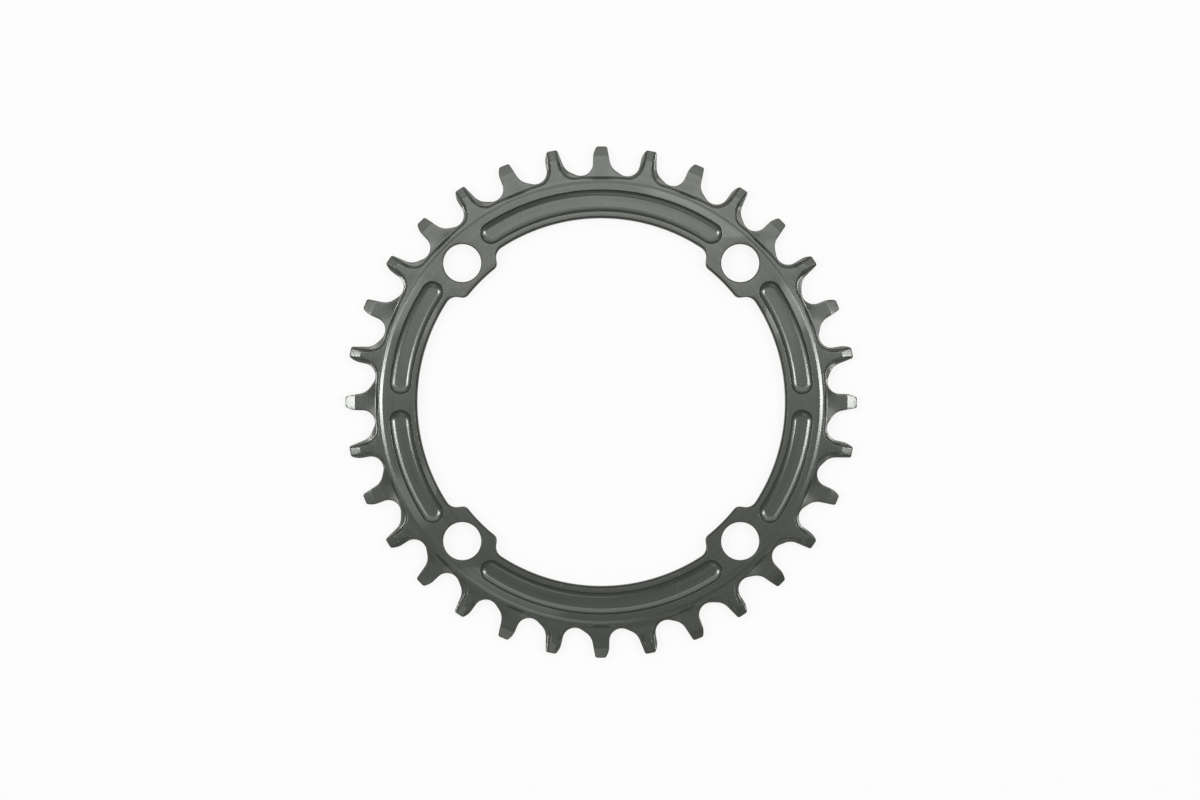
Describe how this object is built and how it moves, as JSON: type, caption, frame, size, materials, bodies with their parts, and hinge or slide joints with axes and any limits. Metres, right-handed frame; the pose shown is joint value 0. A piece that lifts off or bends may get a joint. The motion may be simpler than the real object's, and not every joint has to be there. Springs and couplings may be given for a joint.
{
  "type": "bicycle chainring",
  "caption": "Narrow-wide bicycle chainring: a flat toothed ring with milled pockets and inward bolt tabs, bolted to a crank spider to drive the chain.",
  "frame": {"origin": "the ring's axis at its back face", "axes": "+Z along the ring's axis, out of the pocketed front face; +Y through the narrow tooth at 12 o'clock"},
  "size_m": [0.1354, 0.1354, 0.004],
  "materials": {
    "anodised_aluminium": "satin dark green-grey anodising"
  },
  "bodies": {
    "root": {"chainring": "anodised_aluminium"}
  },
  "joints": []
}
